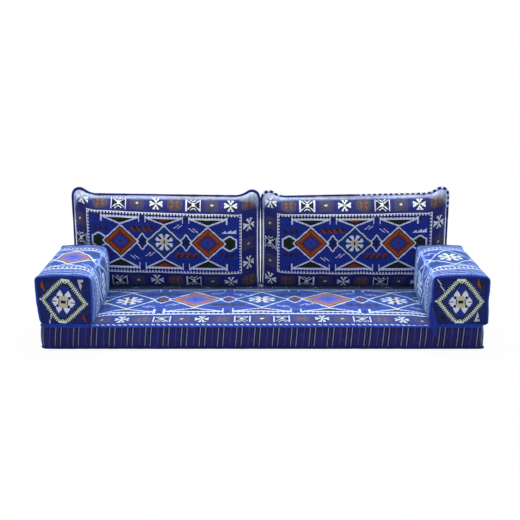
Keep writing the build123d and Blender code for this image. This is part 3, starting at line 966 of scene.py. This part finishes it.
def arm_points(grid, sign):
    """An arm cushion's points from its lattice of side, length and height."""
    b, a, c = grid.T
    half = ARM_HALF[0] * smooth_steps(a, ARM_RUN, 1)
    tall = ARM_HEIGHT * smooth_steps(a, ARM_RUN, 2) / 2
    lower = np.where((b > 0) & (sign < 0), 0.026, 0.010)
    radius = np.where(c > 0, np.where(a < 0, 0.013, 0.018), lower)
    across, up, _ = rounded(b * half, c * tall, half, tall, radius)
    across = across + np.trunc(b) * SEAT_BULGE * (1 - c**2)
    front = clamp((-a - 0.1) / 0.9)
    outer = clamp(b)
    if sign < 0:
        across = across - 0.016 * front * outer * (1 - c) / 2
    else:
        flare = front * outer**8 * clamp(-c) ** 8
        across = across + 0.009 * flare - 0.003 * np.cos(c * 4.5) * outer * front
        up = up + 0.006 * flare
    across = np.minimum(across, ARM_HALF[0] + ARM_OUTER_FLAT)
    up = up + (c == 1) * 0.009 * (1 - b**2)
    rear = clamp((a - 0.82) / 0.18) * clamp(c) ** 6
    up = up + rear * (0.004 + 0.005 * b**6 + (0.007 * clamp(-b) ** 6 if sign > 0 else 0))
    cap = 0.008 * (1 - clamp(np.maximum(np.abs(b), np.abs(c)) / 0.92) ** 3)
    along = a * ARM_HALF[1] + np.trunc(a) * cap
    return np.stack([sign * (ARM_X + across), ARM_Y + along, REST + tall + up], axis=1)


def make_arm(name, sign, top, end):
    """Arm cover: kilim panels with its own star or medallion on top, and a welt round each end.

    sign is -1 for the left arm, and top and end are the cloths of those sides."""
    grid, faces, sides = box_lattice(ARM_QUADS)
    b, a, c = grid.T
    points = arm_points(grid, sign)
    flat = points - (0, ARM_Y, 0)
    body = np.abs(a) < 1
    loose = body & (c > -1)
    waves = ripple(flat * (1, 0.5, 1), 11 + sign, 0.15) * 0.0022
    waves = (waves + ripple(flat, 14 + sign, 0.05) * 0.0009) * loose
    points[:, 0] += sign * np.trunc(b) * waves * (1 - c**2)
    points[:, 2] += (c == 1) * waves * (1 - b**2)
    halves = (*ARM_HALF, ARM_HEIGHT / 2)
    coordinates = side_pattern(grid, faces, sides, halves, (2, 1), sign, 0.009)
    looks = [top, ARM_SIDE, end, PLAIN]
    index = {"top": 0, "left": 1, "right": 1, "front": 2, "rear": 2, "bottom": 3}
    indices = [index[side] for side in sides]
    cover = build(f"{name}_cover", points, faces, coordinates, looks, indices)
    rim = ~body & ((np.abs(b) == 1) | (np.abs(c) == 1))
    settle(cover, np.where(rim, 1.0, np.where(c == -1, 0.95, 0.0)), 2.0, 0.012, 0.007)
    points = points_of(cover)
    points[:, 2] = np.maximum(points[:, 2], REST + KEEP_OFF)
    outer = (b == 1) & body
    furthest = ARM_X + ARM_HALF[0] + ARM_OUTER_FLAT
    points[outer, 0] = sign * np.minimum(sign * points[outer, 0], furthest)
    zip_band(points, outer, name, 0, sign)
    move_points(cover, points)
    soften(cover)
    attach(cover, name)
    walls = ("inner_panel", "outer_panel", "front_panel", "rear_panel")
    panels = ("top_panel", "bottom_panel", *walls, "foam_core")
    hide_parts(*(f"{name}_{panel}" for panel in panels))
    for node, end_at in (("front_welt", -1), ("rear_welt", 1)):
        path = ring_path(points, grid, ARM_QUADS, 1, end_at)
        inward = path.mean(axis=0) - path
        path = path + unit(inward * (1, 0, 1)) * 0.0036
        path[:, 1] = ARM_Y + end_at * (ARM_HALF[1] + 0.0026)
        path[:, 2] = np.maximum(path[:, 2], REST + WELT) + (0.003 if end_at > 0 else 0)
        tube(f"{name}_{node}_cord", path, WELT, WELT_BLUE, True, name, f"{name}_{node}")


def back_top(x):
    """Height of a back cushion's upper edge above its foot, with its rounded ears."""
    radius = (EAR_REACH**2 + EAR_CLIMB**2) / (2 * EAR_CLIMB)
    gap = EAR_REACH - EAR_ROUND
    middle = radius - math.sqrt((radius + EAR_ROUND) ** 2 - gap**2)
    past = np.clip(np.abs(x) - (BACK_HALF - EAR_REACH), 0, EAR_REACH)
    meet = gap * radius / (radius + EAR_ROUND)
    climb = radius - np.sqrt(radius**2 - np.minimum(past, meet) ** 2)
    ear = middle + np.sqrt(np.maximum(EAR_ROUND**2 - (past - gap) ** 2, 0))
    return BACK_TOP + np.where(past < meet, climb, ear)


def back_side_profile(x, count):
    """Upright section of half a back cushion at x: points (out, up) evenly along the cloth."""
    place = min(abs(x) / BACK_HALF, 1)
    share = max((1 - place**5) ** 0.6, 0.0)
    half = (BACK_EDGE + (BACK_THICK - BACK_EDGE) * share) / 2
    base = (BACK_EDGE + (BACK_BASE - BACK_EDGE) * share) / 2
    top = float(back_top(np.array([x]))[0])
    shoulder = top - TOP_ROLL

    def roll(near, reach):
        gap = max(half - near, 1e-4)
        return (gap**2 + reach**2) / (2 * gap)

    low = roll(base, LOW_ROLL)
    high = roll(BACK_EDGE / 2, TOP_ROLL)
    z = np.linspace(0, top, 240)
    foot = np.clip(LOW_ROLL - z, 0, None)
    head = np.clip(z - shoulder, 0, None)
    y = half - (low - np.sqrt(low**2 - foot**2)) - (high - np.sqrt(high**2 - head**2))
    y = np.maximum(y, BACK_EDGE / 2 * share)
    line = np.concatenate([[[0, 0]], np.stack([y, z], axis=1), [[0, top]]])
    run = run_along(line)
    want = np.linspace(0, run[-1], count + 1)
    return np.stack([np.interp(want, run, part) for part in line.T], axis=1)


def make_back(name, centre, seed, cloth, welt, tilt):
    """Back cover: a knife-edged pillow with ears, kilim on both faces, and a welt in its seam.

    tilt is how much its upper edge rises to the right."""
    columns, rows = 84, 50
    t = np.linspace(-1, 1, columns + 1)
    across = t * (1.3 - 0.3 * t**2) * BACK_HALF
    profiles = [back_side_profile(x, rows) for x in across]
    index = {}
    points = []

    def key(i, j, side):
        """A place on a face: -1 is the front, 1 the rear and 0 the rim, which both share."""
        return i, j, 0 if i in (0, columns) or j in (0, rows) else side

    grid = []
    for side in (-1, 1):
        for i, x in enumerate(across):
            for j in range(rows + 1):
                place = key(i, j, side)
                if place in index:
                    continue
                index[place] = len(points)
                out, z = profiles[i][j]
                top = profiles[i][-1][1]
                x_in = x * (1 - BACK_DRAW_IN * (1 - (2 * z / top - 1) ** 2) / BACK_HALF)
                y = place[2] * min(out, BACK_REAR_FLAT if side > 0 else 1)
                points.append((centre + x_in, BACK_Y + y, REST + z * (1 + tilt * x / top)))
                grid.append(place)
    points = np.array(points)
    front = np.array([(x, profile[rows // 2][0]) for x, profile in zip(across, profiles)])
    length_u = run_along(front)
    length_u = (length_u / length_u[-1] * 2 - 1) * BACK_CLOTH_HALF[0]
    length_v = np.linspace(-1, 1, rows + 1) * BACK_CLOTH_HALF[1]
    faces = []
    coordinates = []
    for side in (-1, 1):
        for i in range(columns):
            for j in range(rows):
                faces.append([index[key(i + di, j + dj, side)] for di, dj in QUAD])
                coordinates += [(length_u[i + di] * -side, length_v[j + dj]) for di, dj in QUAD]
    i, j, side = np.array(grid).T
    inner = np.minimum(np.minimum(i, columns - i) / columns, np.minimum(j, rows - j) / rows)
    local = points - (centre, 0, 0)
    dents = ripple(local, seed, 0.24) * 0.0030 + ripple(local, seed + 1, 0.09) * 0.0012
    drift = 3 * ripple(local, seed + 2, 0.3)
    puckers = np.sin(local[:, 0] * 2 * math.pi / 0.041 + drift) * 0.0012
    puckers = puckers * np.exp(-(((rows - j) - 3) ** 2) / 8)
    points[:, 1] += side * (np.minimum(dents, 0.001) * clamp(inner / 0.10) + puckers)
    cover = build(f"{name}_cover", points, faces, coordinates, [cloth])
    hold = np.where(inner == 0, 1.0, np.where(j <= 1, 0.9, 0.0))
    settle(cover, hold, 1.6, 0.012, 0.007)
    points = points_of(cover)
    points[:, 1] = np.minimum(points[:, 1], BACK_Y + BACK_REAR_FLAT)
    points[:, 2] = np.maximum(points[:, 2], REST + KEEP_OFF)
    zip_band(points, side > 0, name, 1, 1)
    move_points(cover, points)
    soften(cover)
    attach(cover, name)
    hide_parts(f"{name}_front_panel", f"{name}_rear_panel", f"{name}_insert")
    rim = [(0, q) for q in range(2, rows)] + [(p, rows) for p in range(columns + 1)]
    rim += [(columns, q) for q in range(rows - 1, 1, -1)]
    path = points[[index[(p, q, 0)] for p, q in rim]]
    ahead = np.gradient(path, axis=0)
    out = unit(np.stack([-ahead[:, 2], np.zeros(len(path)), ahead[:, 0]], axis=1))
    path = path + out * FIN * 0.9
    path[:, 1] += ripple(path, seed + 4, 0.2) * 0.0012
    ear_x = np.abs(path[:, 0] - centre) - BACK_HALF + EAR_ROUND
    ear = np.exp(-((ear_x / 0.035) ** 2)) * (path[:, 2] > BACK_TOP)
    tube(f"{name}_welt_cord", path, FIN * (1 + 0.35 * ear), welt, False, name, f"{name}_welt")


def make_teeth(name, axis):
    """Moulded teeth in place of a zip's plain chain, which runs along the axis."""
    node = f"{name}_zip_chain"
    low, high = (np.array(corner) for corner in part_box(node))
    middle, half = (low + high) / 2, (high - low) / 2
    out_axis = 1 - axis
    sign = 1 if middle[out_axis] > 0 else -1
    face = middle[out_axis] - sign * half[out_axis]
    points = []
    faces = []
    coordinates = []
    for k in range(int(2 * half[axis] / TOOTH_PITCH)):
        for row in (-1, 1):
            start = len(points)
            for out, narrow in ((0, 1.0), (1, 0.72)):
                for da, up in QUAD:
                    spot = middle.copy()
                    spot[axis] = low[axis] + (k + 0.5 + 0.25 * row) * TOOTH_PITCH
                    spot[axis] += (2 * da - 1) * 0.0007 * narrow
                    spot[2] += row * (0.0026 * narrow * up - 0.0004)
                    rise = (2 * half[out_axis] - 0.0002) * (0.12 + 0.88 * out)
                    spot[out_axis] = face + sign * rise
                    points.append(spot)
            for quad in (
                (0, 1, 2, 3), (4, 7, 6, 5), (0, 4, 5, 1), (1, 5, 6, 2), (2, 6, 7, 3), (3, 7, 4, 0),
            ):
                faces.append([start + q for q in quad])
                coordinates += [(0.001 * p, 0.001 * q) for p, q in QUAD]
    teeth = build(f"{name}_zip_teeth", points, faces, coordinates, [TEETH])
    teeth.data.polygons.foreach_set("use_smooth", [False] * len(faces))
    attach(teeth, name)
    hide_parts(node)


def make_tail():
    """Loose end of welt casing that hangs from the right arm's front corner."""
    low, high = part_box("right_arm_welt_tail")
    rows, columns = 40, 8
    points = []
    faces = []
    coordinates = []
    for j in range(rows + 1):
        share = j / rows
        width = 0.034 * (0.24 + 0.90 * math.sin(min(share / 0.75, 1) * math.pi / 2))
        width *= 1 - 0.8 * max(share - 0.72, 0) / 0.28
        middle = low.x + 0.010 + 0.024 * share**1.3
        for i in range(columns + 1):
            t = i / columns * 2 - 1
            fold = 0.0022 * math.sin(t * 6.5 + share * 4) * math.sin(math.pi * min(share * 1.3, 1))
            x = min(max(middle + t * width / 2, low.x), high.x)
            y = (low.y + high.y) / 2 + fold - 0.001 * share
            points.append((x, y, high.z - (high.z - low.z) * share))
    for j in range(rows):
        for i in range(columns):
            first = j * (columns + 1) + i
            quad = (first, first + 1, first + columns + 2, first + columns + 1)
            faces.append(quad)
            coordinates += [(points[q][2], points[q][0] * 0.5) for q in quad]
    tail = build("right_arm_loose_casing", points, faces, coordinates, [CASING])
    thick = tail.modifiers.new("Thick", "SOLIDIFY")
    thick.thickness = 0.0012
    thick.offset = 0
    soften(tail)
    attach(tail, "right_arm")
    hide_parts("right_arm_welt_tail")


make_seat()
make_arm("left_arm", -1, ARM_ORANGE, LEFT_END)
make_arm("right_arm", 1, ARM_STAR, RIGHT_END)
make_back("left_back", BACK_X[0], 21, BACK_CLOTHS[0], WELT_NAVY, -0.0145)
make_back("right_back", BACK_X[1], 31, BACK_CLOTHS[1], WELT_DOTTED, 0.021)
make_tail()
for prefix in ("seat", "left_back", "right_back", "left_arm", "right_arm"):
    make_teeth(prefix, 1 if prefix.endswith("arm") else 0)
    for part, look in (("zip_tapes", TAPE), ("zip_slider", NICKEL), ("zip_pull", NICKEL)):
        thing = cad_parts[f"{prefix}_{part}"]
        thing.data.materials.clear()
        thing.data.materials.append(look)


def seen_by(tree, *kinds):
    """Mask of the rays of these kinds, such as the camera's own."""
    rays = add_node(tree, "LightPath")
    seen = Num(tree, rays.outputs[f"Is {kinds[0]} Ray"])
    for kind in kinds[1:]:
        seen = seen | rays.outputs[f"Is {kind} Ray"]
    return seen


def lamp(name, place, target, size, power):
    """Soft rectangular lamp turned to a target."""
    data = bpy.data.lights.new(name, "AREA")
    data.shape = "RECTANGLE"
    data.size, data.size_y = size
    data.energy = power
    light = bpy.data.objects.new(name, data)
    bpy.context.scene.collection.objects.link(light)
    light.location = place
    x, y, z = np.array(target) - np.array(place)
    light.rotation_euler = (math.atan2(math.hypot(x, y), -z), 0, math.atan2(-x, y))


# Floor, light and camera. The floor is white to the camera, but for the object's shadow.
floor_look = {"Base Color": (0.62, 0.62, 0.63, 1), "Roughness": 0.9}
floor_material, tree, diffuse = new_material("floor", floor_look)
glow = add_node(tree, "Emission", {"Color": (1, 1, 1, 1)})
x, y = parts_of(tree, add_node(tree, "NewGeometry").outputs["Position"])
far = ((x * x + y * y - 1.5) * 0.5).most(0).least(1)
white = seen_by(tree, "Camera", "Glossy") * (0.95 + far * 0.05)
mix = add_node(tree, "MixShader", {0: white, 1: diffuse.outputs[0], 2: glow.outputs[0]})
feed(tree, tree.nodes["Material Output"], {"Surface": mix.outputs[0]})
bpy.ops.mesh.primitive_plane_add(size=60, location=(0, 0, -FLOOR_DROP))
floor = bpy.context.object
floor.name = "floor"
floor.data.materials.append(floor_material)

world = bpy.data.worlds.new("world")
bpy.context.scene.world = world
world.use_nodes = True
tree = world.node_tree
level = 0.30 + seen_by(tree, "Camera", "Glossy", "Transmission") * 0.70
feed(tree, tree.nodes["Background"], {"Color": (1, 1, 1, 1), "Strength": level})

lamp("overhead", (0, 0.9, 3.0), (0, -0.05, 0.2), (4.2, 2.4), 230)
lamp("front", (-0.8, -4.0, 2.4), (0, 0, 0.2), (3.0, 2.0), 30)

camera_data = bpy.data.cameras.new("camera")
camera_data.sensor_width = 36
camera_data.lens = 71.58
camera = bpy.data.objects.new("camera", camera_data)
bpy.context.scene.collection.objects.link(camera)
camera.location = (-0.0086, -4.589, 1.479)
camera.rotation_euler = (math.radians(90 - 14.32), 0, 0)
bpy.context.scene.camera = camera
bpy.context.scene.view_settings.view_transform = "Standard"
